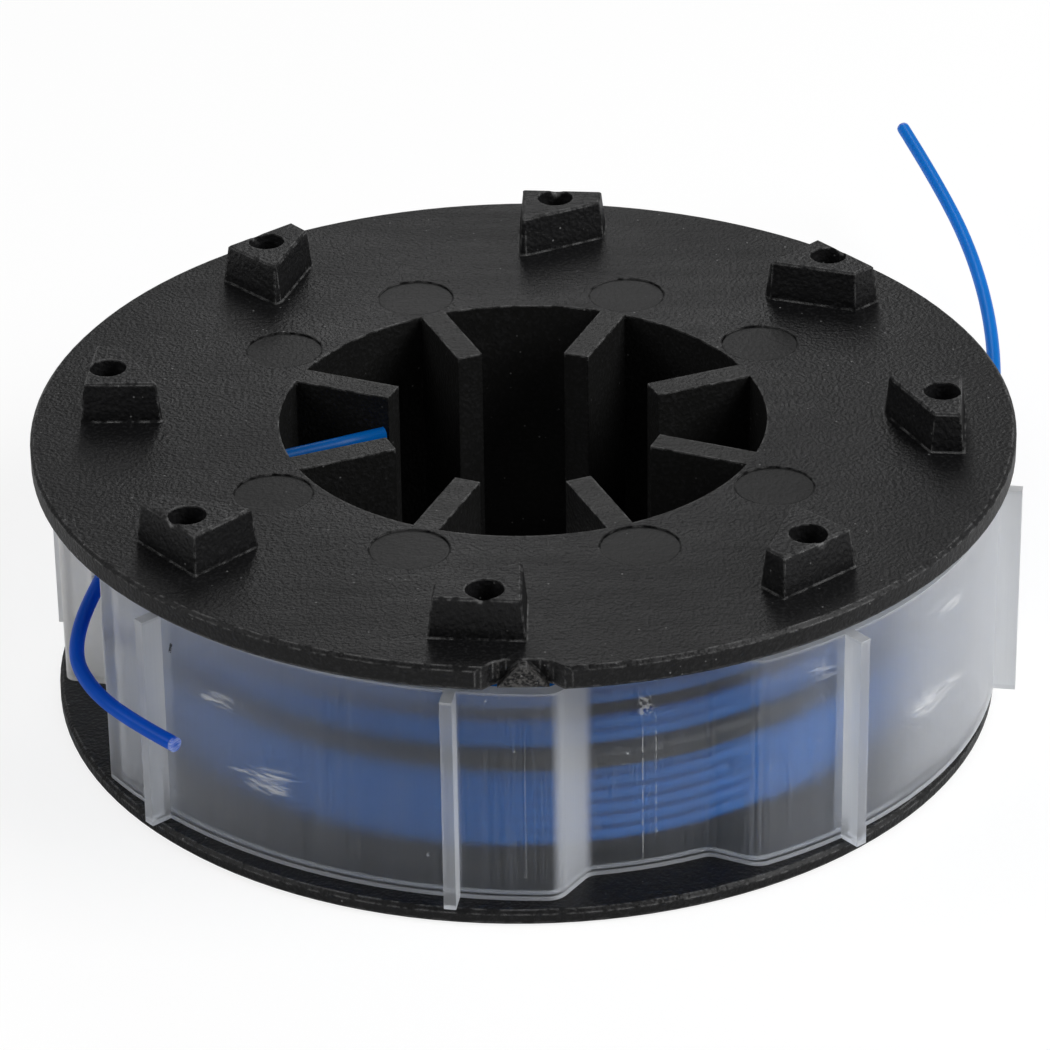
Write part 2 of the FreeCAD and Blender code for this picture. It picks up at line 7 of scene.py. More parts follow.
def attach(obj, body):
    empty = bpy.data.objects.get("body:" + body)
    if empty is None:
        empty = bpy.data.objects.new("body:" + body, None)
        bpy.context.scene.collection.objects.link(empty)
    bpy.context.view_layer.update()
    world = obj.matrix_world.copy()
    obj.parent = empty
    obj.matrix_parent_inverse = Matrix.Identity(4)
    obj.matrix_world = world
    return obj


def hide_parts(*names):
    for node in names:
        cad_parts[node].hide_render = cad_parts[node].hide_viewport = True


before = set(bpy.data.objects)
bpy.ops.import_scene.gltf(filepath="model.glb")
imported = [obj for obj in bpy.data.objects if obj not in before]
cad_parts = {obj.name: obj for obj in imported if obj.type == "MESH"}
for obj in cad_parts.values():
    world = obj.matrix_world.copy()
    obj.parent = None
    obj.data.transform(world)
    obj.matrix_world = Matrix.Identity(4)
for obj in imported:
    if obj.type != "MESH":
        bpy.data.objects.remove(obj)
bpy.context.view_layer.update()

MM = 0.001

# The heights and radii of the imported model, in metres
TOP_FACE = 29.6 * MM
BORE_RADIUS = 24.8 * MM
BAND_FOOT = 1.6 * MM
BAND_TOP = 24.8 * MM
LINE_RADIUS = 0.75 * MM
LINE_PITCH = 1.5 * MM
TURN_RADIUS = 39.25 * MM
LIFT_LENGTH = 13.0 * MM
LIFT_ARC = 40


# Camera

def make_camera():
    """The photo's own place, focal length and framing, found from its outlines."""
    elevation = math.radians(28.1288)
    roll = math.radians(-0.8425)
    distance = 520.64 * MM
    photo_size = 1050
    focal_pixels = 5121.83
    centre_x, centre_y = 522.979, 415.908
    back = Vector((0, -math.cos(elevation), math.sin(elevation)))
    place = Vector((0, 0, TOP_FACE)) + back * distance
    level = Vector((1, 0, 0))
    upward = level.cross(-back)
    right = math.cos(roll) * level + math.sin(roll) * upward
    above = -math.sin(roll) * level + math.cos(roll) * upward
    data = bpy.data.cameras.new("camera")
    camera = bpy.data.objects.new("camera", data)
    bpy.context.scene.collection.objects.link(camera)
    rotation = Matrix((right, above, back)).transposed().to_4x4()
    camera.matrix_world = Matrix.Translation(place) @ rotation
    data.sensor_width = 36
    data.lens = focal_pixels / photo_size * data.sensor_width
    data.shift_x = (photo_size / 2 - centre_x) / photo_size
    data.shift_y = (centre_y - photo_size / 2) / photo_size
    data.clip_start = 0.01
    data.clip_end = 20
    bpy.context.scene.camera = camera


make_camera()


# Free ends of the line

def line_curve(name, points):
    """A round line along a smooth spline of control points, in metres."""
    data = bpy.data.curves.new(name, "CURVE")
    data.dimensions = "3D"
    data.bevel_depth = LINE_RADIUS
    data.bevel_resolution = 5
    data.resolution_u = 16
    data.use_fill_caps = True
    spline = data.splines.new("NURBS")
    spline.points.add(len(points) - 1)
    for knot, point in zip(spline.points, points):
        knot.co = (*point, 1)
    spline.order_u = 3
    spline.use_endpoint_u = True
    piece = bpy.data.objects.new(name, data)
    bpy.context.scene.collection.objects.link(piece)
    return piece


def lift_off(turn_angle, height, reach):
    """A point on the straight stretch where the outer turn leaves its winding."""
    angle = math.radians(turn_angle)
    return Vector((
        TURN_RADIUS * math.cos(angle) - reach * math.sin(angle),
        TURN_RADIUS * math.sin(angle) + reach * math.cos(angle),
        height,
    ))


# Where each outer turn leaves its winding: angle in degrees and height
LEFT_LIFT = (166.0, 17.0 * MM)
RIGHT_LIFT = (-20.0, 9.3 * MM)
# The way of each free end after that, in millimetres
LEFT_ROUTE = [
    (-43.7, -13.0, 17.0),
    (-44.8, -23.7, 16.8),
    (-43.0, -29.7, 16.4),
    (-39.0, -35.3, 16.0),
    (-33.8, -40.0, 15.7),
]
RIGHT_ROUTE = [
    (47.4, 15.4, 9.3),
    (51.3, 32.9, 10.0),
    (53.0, 50.6, 10.7),
    (52.6, 67.9, 11.6),
    (50.2, 85.3, 12.6),
    (46.4, 102.2, 13.6),
]


def free_end(name, lift, route):
    """One free end, from the end of its straight stretch along its route."""
    exit_point = lift_off(*lift, LIFT_LENGTH)
    points = [exit_point] + [Vector(point) * MM for point in route]
    piece = line_curve(name, points)
    return piece


left_end = free_end("left_free_line", LEFT_LIFT, LEFT_ROUTE)
right_end = free_end("right_free_line", RIGHT_LIFT, RIGHT_ROUTE)


# Node helpers

class Nodes:
    """A material's node tree, with short calls that make and join nodes."""

    def __init__(self, name):
        self.material = bpy.data.materials.new(name)
        self.material.use_nodes = True
        self.tree = self.material.node_tree
        self.tree.nodes.clear()
        self.output = self.tree.nodes.new("ShaderNodeOutputMaterial")

    def new(self, kind, inputs=None, **settings):
        """A node with its settings, and with each input linked where it is given a socket."""
        node = self.tree.nodes.new(kind)
        for key, value in settings.items():
            setattr(node, key, value)
        for key, value in (inputs or {}).items():
            if isinstance(value, bpy.types.NodeSocket):
                self.tree.links.new(value, node.inputs[key])
            else:
                node.inputs[key].default_value = value
        return node

    def math(self, operation, first, second=0.0, third=0.0):
        node = self.new("ShaderNodeMath", operation=operation)
        for index, value in enumerate((first, second, third)):
            if isinstance(value, bpy.types.NodeSocket):
                self.tree.links.new(value, node.inputs[index])
            else:
                node.inputs[index].default_value = value
        return node.outputs[0]

    def times(self, first, second):
        return self.math("MULTIPLY", first, second)

    def rest_of(self, value):
        return self.math("SUBTRACT", 1.0, value)

    def ramp(self, value, low, high, to_low=0.0, to_high=1.0):
        """value from low..high to to_low..to_high, clamped."""
        ends = {"Value": value, "From Min": low, "From Max": high, "To Min": to_low, "To Max": to_high}
        return self.new("ShaderNodeMapRange", ends).outputs[0]

    def place(self):
        """The point in the object's own frame, in metres."""
        return self.new("ShaderNodeTexCoord").outputs["Object"]

    def stretched(self, scale):
        """The same point with its own scale on each axis, for noise that runs one way."""
        return self.new("ShaderNodeMapping", {"Vector": self.place(), "Scale": scale}).outputs[0]

    def noise(self, vector, scale, detail=2.0, roughness=0.5):
        inputs = {"Vector": vector, "Scale": scale, "Detail": detail, "Roughness": roughness}
        return self.new("ShaderNodeTexNoise", inputs).outputs["Fac"]

    def vector_math(self, operation, first, second=(0.0, 0.0, 0.0)):
        return self.new("ShaderNodeVectorMath", {0: first, 1: second}, operation=operation).outputs

    def mix(self, factor, first, second):
        node = self.new("ShaderNodeMix", data_type="RGBA")
        for key, value in ((0, factor), (6, first), (7, second)):
            if isinstance(value, bpy.types.NodeSocket):
                self.tree.links.new(value, node.inputs[key])
            else:
                node.inputs[key].default_value = value
        return node.outputs[2]

    def join_shaders(self, factor, first, second):
        node = self.new("ShaderNodeMixShader", {0: factor})
        self.tree.links.new(first, node.inputs[1])
        self.tree.links.new(second, node.inputs[2])
        return node.outputs[0]

    def within(self, centre, turn, tilt, reach):
        """A place in the frame of an ellipsoid patch: its length is 1 on the patch's edge."""
        frame_of_patch = {
            "Vector": self.place(), "Location": centre, "Rotation": (tilt, 0, turn), "Scale": reach,
        }
        return self.new("ShaderNodeMapping", frame_of_patch, vector_type="TEXTURE").outputs[0]

    def in_box(self, vector, soft=0.1):
        """1 inside the box that reaches from -1 to 1 on every axis."""
        sides = self.vector_math("ABSOLUTE", vector)[0]
        parts = self.new("ShaderNodeSeparateXYZ", {0: sides}).outputs
        return self.ramp(self.largest([parts["X"], parts["Y"], parts["Z"]]), 1.0 - soft, 1.0, 1.0, 0.0)

    def size_of(self, vector):
        """The vector's length."""
        return self.vector_math("LENGTH", vector)["Value"]

    def largest(self, items):
        total = items[0]
        for item in items[1:]:
            total = self.math("MAXIMUM", total, item)
        return total

    def finish(self, shader):
        self.tree.links.new(shader, self.output.inputs["Surface"])
        return self.material


def dress(piece, material):
    """Gives a piece or a CAD node one material."""
    piece.data.materials.clear()
    piece.data.materials.append(material)


# The ejector marks of one quarter of the top face, in millimetres
EJECTOR_MARKS = ((24.8, 15.4), (11.2, 27.0))
MARK_RADIUS = 3.95 * MM
# The torn stub of the gate: centre and half size
STUB_CENTRE = (-0.35 * MM, -49.3 * MM, 28.0 * MM)
STUB_REACH = (2.6 * MM, 1.0 * MM, 1.7 * MM)


def ejector_marks(n):
    """1 inside the round marks of the top face, and 1 on their rims. Both are mirrored about X and Y."""
    folded = n.vector_math("ABSOLUTE", n.place())[0]
    flat = n.vector_math("MULTIPLY", folded, (1, 1, 0))[0]
    inside = []
    rims = []
    for across, along in EJECTOR_MARKS:
        centre = (across * MM, along * MM, 0)
        away = n.vector_math("DISTANCE", flat, centre)["Value"]
        inside.append(n.ramp(away, MARK_RADIUS - 0.12 * MM, MARK_RADIUS, 1.0, 0.0))
        off = n.math("ABSOLUTE", n.math("SUBTRACT", away, MARK_RADIUS))
        rims.append(n.ramp(off, 0.08 * MM, 0.16 * MM, 1.0, 0.0))
    return n.largest(inside), n.largest(rims)


# Tones of the black plastic
BLACK = (0.0028, 0.0028, 0.0031, 1)
CLOUDED_BLACK = (0.0060, 0.0060, 0.0065, 1)
LUG_BLACK = (0.0090, 0.0090, 0.0095, 1)
# Painted light: the bore walls get a lighter tone than the rest, standing in for light reaching into the
# bore
BORE_BLACK = (0.0095, 0.0095, 0.0092, 1)
MARK_BLACK = (0.004, 0.004, 0.004, 1)
GROOVE_BLACK = (0.0015, 0.0015, 0.0015, 1)
GRAIN_GREY = (0.022, 0.022, 0.023, 1)
# Pale grey of the edge lines: partly edge wear, partly painted edge highlight
WORN_AND_HIGHLIGHT_GREY = (0.26, 0.26, 0.26, 1)
TORN_GREY = (0.15, 0.145, 0.14, 1)
DUST_GREY = (0.34, 0.34, 0.34, 1)


def moulded_bump(n, place, on_lugs, grain, flow, rounded):
    """The rounded normal with leathery grain and flow marks on it."""
    coarse = n.noise(place, 1200, 1.0, 0.7)
    relief = n.times(coarse, n.ramp(on_lugs, 0.0, 1.0, 0.40, 1.0))
    relief = n.math("ADD", relief, n.times(grain, 1.2))
    relief = n.math("ADD", relief, flow)
    surface = {"Height": relief, "Strength": 0.9, "Distance": 0.10 * MM, "Normal": rounded}
    return n.new("ShaderNodeBump", surface).outputs[0]


def worn_and_highlit_edges(n, place, height, in_bore, rounded):
    """1 on broken lines where the rounded normal turns away from the true one, but not deep in the bore:
    edge wear with a painted edge highlight.
    """
    true_normal = n.new("ShaderNodeNewGeometry").outputs["Normal"]
    turned = n.vector_math("DOT_PRODUCT", true_normal, rounded)["Value"]
    wear_and_highlight = n.times(n.ramp(turned, 0.995, 0.94), n.ramp(n.noise(place, 800, 2.0, 0.7), 0.42, 0.58))
    deep = n.times(in_bore, n.ramp(height, TOP_FACE - 0.5 * MM, TOP_FACE - 0.4 * MM, 1.0, 0.0))
    return n.times(wear_and_highlight, n.rest_of(deep))


def dust(n, place):
    """1 on fine pale specks, which lie in loose groups."""
    specks = n.new("ShaderNodeTexVoronoi", {"Vector": place, "Scale": 800.0}).outputs["Distance"]
    rare = n.ramp(n.noise(place, 190, 2.0, 0.6), 0.52, 0.58)
    return n.times(n.ramp(specks, 0.05, 0.10, 1.0, 0.0), rare)


def torn_stub(n, place):
    """1 on the torn grain of the gate's stub."""
    torn = n.in_box(n.within(STUB_CENTRE, 0, 0, STUB_REACH))
    return n.times(torn, n.ramp(n.noise(place, 3600, 1.0, 0.7), 0.42, 0.66))


def black_plastic():
    """Satin black moulding with leathery grain, flow marks, edge wear with a painted edge highlight, dust
    and smoother ejector marks.
    """
    n = Nodes("black_plastic")
    place = n.place()
    height = n.new("ShaderNodeSeparateXYZ", {0: place}).outputs["Z"]
    flat = n.vector_math("MULTIPLY", place, (1, 1, 0))[0]
    in_bore = n.ramp(n.size_of(flat), BORE_RADIUS + 0.05 * MM, BORE_RADIUS + 0.15 * MM, 1.0, 0.0)
    on_lugs = n.ramp(height, TOP_FACE + 0.3 * MM, TOP_FACE + 1.2 * MM)
    on_top = n.ramp(height, TOP_FACE - 0.3 * MM, TOP_FACE - 0.2 * MM)
    grain = n.noise(place, 2400, 2.0, 0.6)
    flow = n.noise(n.stretched((70, 420, 200)), 1.0, 3.0, 0.6)
    clouds = n.noise(place, 35, 2.0, 0.5)
    rounded = n.new("ShaderNodeBevel", {"Radius": 0.32 * MM}, samples=2).outputs[0]

    colour = n.mix(clouds, BLACK, CLOUDED_BLACK)
    for amount, tone in (
        (on_lugs, LUG_BLACK),
        # Painted light in the bore
        (in_bore, BORE_BLACK),
        (n.times(dust(n, place), 0.6), DUST_GREY),
        (n.ramp(grain, 0.50, 0.72, 0.0, 0.6), GRAIN_GREY),
        # Pale edge lines: edge wear with a painted edge highlight
        (n.times(worn_and_highlit_edges(n, place, height, in_bore, rounded), 0.85), WORN_AND_HIGHLIGHT_GREY),
        (n.times(torn_stub(n, place), 0.6), TORN_GREY),
    ):
        colour = n.mix(amount, colour, tone)

    unevenness = n.math("ADD", n.times(clouds, 0.6), n.times(flow, 0.4))
    rough = n.ramp(unevenness, 0.3, 0.7, 0.35, 0.50)
    bump = moulded_bump(n, place, on_lugs, grain, flow, rounded)
    body = n.new("ShaderNodeBsdfPrincipled", {"Base Color": colour, "Roughness": rough, "Normal": bump})
    body.inputs["Specular IOR Level"].default_value = 0.22
    smooth = n.new("ShaderNodeBsdfPrincipled", {"Base Color": MARK_BLACK})
    smooth.inputs["Roughness"].default_value = 0.42
    smooth.inputs["Specular IOR Level"].default_value = 0.12
    groove = n.new("ShaderNodeBsdfDiffuse", {"Color": GROOVE_BLACK})
    level = n.times(on_top, n.rest_of(on_lugs))
    marks, rims = ejector_marks(n)
    marked = n.join_shaders(n.times(n.times(marks, level), 0.6), body.outputs[0], smooth.outputs[0])
    return n.finish(n.join_shaders(n.times(n.times(rims, level), 0.5), marked, groove.outputs[0]))


def toned(colour, strength):
    """The colour made stronger or weaker, with its alpha."""
    return tuple(strength * part for part in colour) + (1,)


def blue_line(name, deep_blue, bright_blue, cut_point=None, cut_direction=None):
    """Translucent blue monofilament with faint drawing lines, and a pale fibrous cut face at one end."""
    n = Nodes(name)
    place = n.place()
    streaks = n.noise(place, 900, 3.0, 0.6)
    clouds = n.noise(place, 120, 2.0, 0.5)
    deep = n.mix(clouds, toned(deep_blue, 0.85), toned(deep_blue, 1.15))
    if cut_point is not None:
        offset = n.vector_math("SUBTRACT", place, tuple(cut_point))[0]
        along = n.vector_math("DOT_PRODUCT", offset, tuple(cut_direction))["Value"]
        face = n.ramp(along, -0.42 * MM, -0.30 * MM)
        fibres = n.noise(n.stretched((900, 900, 5200)), 1.0, 3.0, 0.7)
        pale = n.mix(n.ramp(fibres, 0.40, 0.62), (0.03, 0.14, 0.62, 1), (0.55, 0.68, 0.92, 1))
        deep = n.mix(face, deep, pale)
    bump = n.new("ShaderNodeBump", {"Height": streaks, "Strength": 0.12, "Distance": 0.03 * MM})
    body = n.new("ShaderNodeBsdfPrincipled", {"Base Color": deep, "Normal": bump.outputs[0]})
    body.inputs["Roughness"].default_value = 0.34
    body.inputs["Specular IOR Level"].default_value = 0.2
    glow = n.new("ShaderNodeBsdfTranslucent", {"Color": toned(bright_blue, 1)})
    return n.finish(n.join_shaders(0.35, body.outputs[0], glow.outputs[0]))


# The band: where its own frame lies, its fins in that frame, and its wall's radii in millimetres
BAND_CENTRE = (0.5 * MM, 0.1 * MM, 0)
BAND_TURN = math.radians(15.3)
FIN_ANGLES = (25.0, 65.2)
BAND_RADIUS = 47.2
RECESS_RADIUS = 43.2

# Scuffs on the band: angle round the spool, height, half length, half height, tilt and strength
SCUFFS = (
    (-130.3, 17.8, 2.4, 0.60, 0, 0.50),
    (-123.5, 11.3, 4.8, 0.40, 6, 0.62),
    (-122.9, 10.1, 3.2, 1.05, 4, 0.55),
    (-53.0, 21.6, 0.22, 1.70, 0, 0.30),
    (-53.2, 21.9, 2.3, 0.28, -8, 0.30),
    (-52.8, 20.9, 1.9, 0.25, 0, 0.30),
    (-29.6, 20.6, 2.9, 0.95, -8, 0.45),
    (-31.4, 11.6, 5.9, 0.85, -5, 0.60),
    (-34.0, 11.3, 3.6, 1.35, -3, 0.60),
)
# Upright dotted scratches at the front: radius, angle, lower end, upper end and strength
SCRATCHES = (
    (RECESS_RADIUS, -75.1, 1.7, 20.0, 0.50),
    (RECESS_RADIUS, -73.3, 5.0, 20.0, 0.46),
    (46.9, -90.4, 4.0, 20.0, 0.22),
)
# A small rough patch above the scratches: angle and height
PATCH = (-74.7, 20.2)
PATCH_REACH = (0.6 * MM, 0.75 * MM, 1.2 * MM)
# A small dark fleck beside the left fin: angle, height, half width and half height
FLECK = (-137.4, 21.6, 0.20, 0.70)


def on_wall(radius, angle, height):
    """A point of the band's wall from its radius, angle and height in millimetres."""
    turn = math.radians(angle)
    return (radius * math.cos(turn) * MM, radius * math.sin(turn) * MM, height * MM)


def band_frame(n):
    """The point in the band's own frame, folded into one quarter, and its angle from the recesses' axis.

    The third value is 1 in the two quarters where x and y have the same sign."""
    own = n.within(BAND_CENTRE, BAND_TURN, 0, (1, 1, 1))
    folded = n.vector_math("ABSOLUTE", own)[0]
    signed = n.new("ShaderNodeSeparateXYZ", {0: own}).outputs
    parts = n.new("ShaderNodeSeparateXYZ", {0: folded}).outputs
    apart = n.math("ARCTAN2", parts["X"], parts["Y"])
    agree = n.math("GREATER_THAN", n.times(signed["X"], signed["Y"]), 0.0)
    return folded, apart, agree


def fins(n, folded):
    """1 on the upright fins, which are mirrored about the band's own two axes."""
    found = []
    for angle in FIN_ANGLES:
        across = (math.cos(math.radians(angle)), -math.sin(math.radians(angle)), 0)
        off = n.vector_math("DOT_PRODUCT", folded, across)["Value"]
        found.append(n.ramp(n.math("ABSOLUTE", off), 0.60 * MM, 0.70 * MM, 1.0, 0.0))
    return n.largest(found)


def between(n, value, low, high, soft):
    """1 between two angles in degrees, with soft ends."""
    start = n.ramp(value, math.radians(low), math.radians(low + soft))
    end = n.ramp(value, math.radians(high - soft), math.radians(high), 1.0, 0.0)
    return n.times(start, end)


def painted_flank_highlight(n, apart, agree):
    """The slanting flanks of the recesses, made paler by place as a painted highlight: one flank over its
    width, the other only at its bends.
    """
    bright = between(n, apart, 7.6, 13.2, 1.0)
    bends = n.largest([between(n, apart, 8.2, 8.9, 0.3), between(n, apart, 12.3, 13.0, 0.3)])
    other = n.times(n.rest_of(agree), n.times(bends, 0.35))
    return n.math("ADD", n.times(bright, agree), other)


def scuffs(n):
    """Pale rubbed patches, broken up into fine streaks along their length."""
    found = []
    for angle, height, half_length, half_height, tilt, strength in SCUFFS:
        reach = (3.0 * MM, half_length * MM, half_height * MM)
        centre = on_wall(BAND_RADIUS, angle, height)
        inside = n.within(centre, math.radians(angle), math.radians(tilt), reach)
        found.append(n.ramp(n.size_of(inside), 0.60, 1.0, strength, 0.0))
    streaks = n.noise(n.stretched((420, 420, 3000)), 1.0, 3.0, 0.75)
    return n.times(n.largest(found), n.ramp(streaks, 0.44, 0.56))


def scratches(n):
    """Fine upright dotted lines, and a small rough patch above them."""
    found = []
    dots = n.ramp(n.noise(n.stretched((300, 300, 1900)), 1.0, 2.0, 0.6), 0.44, 0.54)
    for radius, angle, low, high, strength in SCRATCHES:
        reach = (0.6 * MM, 0.050 * MM, (high - low) / 2 * MM)
        inside = n.within(on_wall(radius, angle, (low + high) / 2), math.radians(angle), 0, reach)
        found.append(n.times(n.in_box(inside, 0.05), n.times(dots, strength)))
    angle, height = PATCH
    patch = n.within(on_wall(RECESS_RADIUS, angle, height), math.radians(angle), 0, PATCH_REACH)
    rough = n.ramp(n.noise(n.place(), 2600, 2.0, 0.7), 0.47, 0.56)
    found.append(n.times(n.in_box(patch, 0.25), n.times(rough, 0.40)))
    return n.largest(found)


def fleck(n):
    """1 on the broken dark fleck."""
    angle, height, half_width, half_height = FLECK
    reach = (0.9 * MM, half_width * MM, half_height * MM)
    centre = on_wall(BAND_RADIUS, angle, height)
    inside = n.within(centre, math.radians(angle), math.radians(-14), reach)
    return n.times(n.in_box(inside, 0.3), n.ramp(n.noise(n.place(), 1900, 2.0, 0.6), 0.46, 0.52))


def specks(n, place):
    """1 on small pale specks, which lie in loose groups."""
    dots = n.new("ShaderNodeTexVoronoi", {"Vector": place, "Scale": 420.0}).outputs["Distance"]
    rare = n.ramp(n.noise(place, 200, 1.0, 0.5), 0.56, 0.62)
    return n.times(n.ramp(dots, 0.03, 0.06, 0.7, 0.0), rare)


def milky_share(n, place, folded, apart, agree, far):
    """How much of the wall scatters light: more at a slant, on fins and flanks, along both edges and at the
    far ends. On the flanks, along the edges and at the far ends this is painted highlight.
    """
    height = n.new("ShaderNodeSeparateXYZ", {0: place}).outputs["Z"]
    brushing = n.noise(n.stretched((1500, 1500, 40)), 1.0, 1.0, 0.6)
    fine = n.noise(n.stretched((5200, 5200, 60)), 1.0, 1.0, 0.6)
    clouds = n.noise(place, 60, 2.0, 0.6)
    slant = n.new("ShaderNodeLayerWeight", {"Blend": 0.5}).outputs["Facing"]
    unevenness = n.math("ADD", n.times(clouds, 0.5), n.times(brushing, 0.5))
    share = n.ramp(unevenness, 0.3, 0.7, 0.005, 0.030)
    for amount in (
        n.ramp(fine, 0.42, 0.62, 0.0, 0.052),
        n.times(n.math("POWER", slant, 1.8), 0.78),
        # Painted highlight: a pale line along the foot of the band
        n.ramp(height, BAND_FOOT + 0.40 * MM, BAND_FOOT + 0.55 * MM, 0.75, 0.0),
        n.ramp(height, BAND_TOP - 4.30 * MM, BAND_TOP - 0.40 * MM, 0.0, 0.14),
        # Painted highlight: a pale line along the top edge of the band
        n.ramp(height, BAND_TOP - 0.35 * MM, BAND_TOP - 0.15 * MM, 0.0, 0.50),
        n.times(fins(n, folded), 0.30),
        # Painted highlight: one recess flank is made paler
        n.times(painted_flank_highlight(n, apart, agree), 0.30),
        n.times(n.rest_of(agree), n.ramp(apart, math.radians(32), math.radians(62), 0.0, 0.16)),
        # Painted highlight: more milk at the far ends of the band
        n.times(far, 0.40),
    ):
        share = n.math("ADD", share, amount)
    return n.math("MINIMUM", share, 1.0)


# Tones of the frosted plastic. Milk and haze have a second, whiter tone for the far ends of the band: a
# painted highlight
MILK = ((0.66, 0.67, 0.69, 1), (0.95, 0.94, 0.92, 1))
HAZE = ((0.74, 0.76, 0.79, 1), (0.98, 0.97, 0.95, 1))
CLEAR = (0.96, 0.97, 0.98, 1)
RUBBED = (0.80, 0.81, 0.82, 1)
DIRT = (0.02, 0.02, 0.02, 1)
# The light that passes the band on its way from the lamps to what lies behind it
OPEN = (0.80, 0.83, 0.86, 1)


def frosted_plastic():
    """Frosted translucent band: blurs what is behind it, with upright brushing, milky fins and scuffs, and
    painted highlights on the recess flanks, edges and far ends.
    """
    n = Nodes("frosted_plastic")
    place = n.place()
    folded, apart, agree = band_frame(n)
    # Painted highlight: the far ends of the band are made whiter and more milky by place
    far = n.times(n.rest_of(agree), n.ramp(apart, math.radians(63), math.radians(68)))
    blur = n.ramp(apart, math.radians(14), math.radians(34), 0.37, 0.62)
    clear = n.new("ShaderNodeBsdfRefraction", {"Color": CLEAR, "Roughness": blur})
    clear.inputs["IOR"].default_value = 1.18
    milk = n.new("ShaderNodeBsdfDiffuse", {"Color": n.mix(far, *MILK)})
    haze = n.new("ShaderNodeBsdfTranslucent", {"Color": n.mix(far, *HAZE)})
    skin = n.join_shaders(0.5, milk.outputs[0], haze.outputs[0])
    milky = milky_share(n, place, folded, apart, agree, far)
    body = n.join_shaders(milky, clear.outputs[0], skin)
    rubbed = n.new("ShaderNodeBsdfDiffuse", {"Color": RUBBED})
    marks = n.largest([scuffs(n), scratches(n), specks(n, place)])
    body = n.join_shaders(marks, body, rubbed.outputs[0])
    dirt = n.new("ShaderNodeBsdfDiffuse", {"Color": DIRT})
    body = n.join_shaders(n.times(fleck(n), 0.9), body, dirt.outputs[0])
    gloss = n.new("ShaderNodeBsdfGlossy", {"Color": (1, 1, 1, 1), "Roughness": 0.30})
    shine = n.new("ShaderNodeFresnel", {"IOR": 1.25}).outputs[0]
    seen = n.join_shaders(shine, body, gloss.outputs[0])
    open_light = n.new("ShaderNodeBsdfTransparent", {"Color": OPEN})
    in_shadow = n.new("ShaderNodeLightPath").outputs["Is Shadow Ray"]
    return n.finish(n.join_shaders(in_shadow, seen, open_light.outputs[0]))


# The windings

def tube(name, paths, sides=10):
    """A mesh of round line along several polylines, each with flat ends."""
    vertices = []
    faces = []
    for path in paths:
        start = len(vertices)
        for index, point in enumerate(path):
            ahead = path[min(index + 1, len(path) - 1)] - path[max(index - 1, 0)]
            ahead.normalize()
            across = ahead.cross(Vector((0, 0, 1))).normalized()
            upward = across.cross(ahead)
            for side in range(sides):
                turn = 2 * math.pi * side / sides
                vertices.append(point + (across * math.cos(turn) + upward * math.sin(turn)) * LINE_RADIUS)
        for ring in range(len(path) - 1):
            for side in range(sides):
                after = (side + 1) % sides
                low = start + ring * sides
                faces.append((low + side, low + after, low + sides + after, low + sides + side))
        faces.append(tuple(range(start, start + sides))[::-1])
        last = start + (len(path) - 1) * sides
        faces.append(tuple(range(last, last + sides)))
    mesh = bpy.data.meshes.new(name)
    mesh.from_pydata([tuple(vertex) for vertex in vertices], [], faces)
    mesh.update()
    for polygon in mesh.polygons:
        polygon.use_smooth = len(polygon.vertices) == 4
    piece = bpy.data.objects.new(name, mesh)
    bpy.context.scene.collection.objects.link(piece)
    return piece


def wobble(angle, seed):
    """A small smooth unevenness in the lay of the line."""
    return math.sin(angle * 1.7 + seed) * 0.5 + math.sin(angle * 3.1 + seed * 2.3) * 0.3


# Each winding: the height of its first turn, its number of turns and the one that is missing
UPPER_TURNS = (15.35 * MM, 8, 2)
LOWER_TURNS = (4.2 * MM, 6, None)
# Each anchored end: the side of the hub in degrees and its height
UPPER_ANCHOR = (180, 25.7 * MM)
LOWER_ANCHOR = (0, 11.2 * MM)
# How an anchored end runs: its slant, its distance from the middle and its points in millimetres
ANCHOR_SLANT = 24.5
ANCHOR_OFFSET = 9.4 * MM
ANCHOR_REACHES = (28.6, 26.0, 22.0, 17.0, 11.4)
# How far the inner layers lie under the outer turns, the deeper one behind the missing turn
INNER_LAYER = 1.25 * MM
DEEP_LAYER = 2.6 * MM
STEPS_PER_TURN = 110


def laid_turns(radius, first, last, start_angle, end_angle, seed):
    """One stretch of line wound evenly from one height to another."""
    count = max(2, int(abs(end_angle - start_angle) / 360 * STEPS_PER_TURN))
    path = []
    for step in range(count + 1):
        share = step / count
        angle = math.radians(start_angle + (end_angle - start_angle) * share)
        sway = wobble(angle, seed)
        reach = radius + (sway - 0.8) * 0.07 * MM
        height = first + (last - first) * share + sway * 0.05 * MM
        path.append(Vector((reach * math.cos(angle), reach * math.sin(angle), height)))
    return path


def anchored_end(side, height):
    """The inner end of a line, from inside the winding through the hub to its cut in the bore."""
    angle = math.radians(side + 180 + ANCHOR_SLANT)
    along = Vector((math.cos(angle), math.sin(angle), 0))
    aside = Vector((-along.y, along.x, 0)) * ANCHOR_OFFSET
    path = [aside - along * reach * MM for reach in ANCHOR_REACHES]
    return [Vector((point.x, point.y, height)) for point in path]


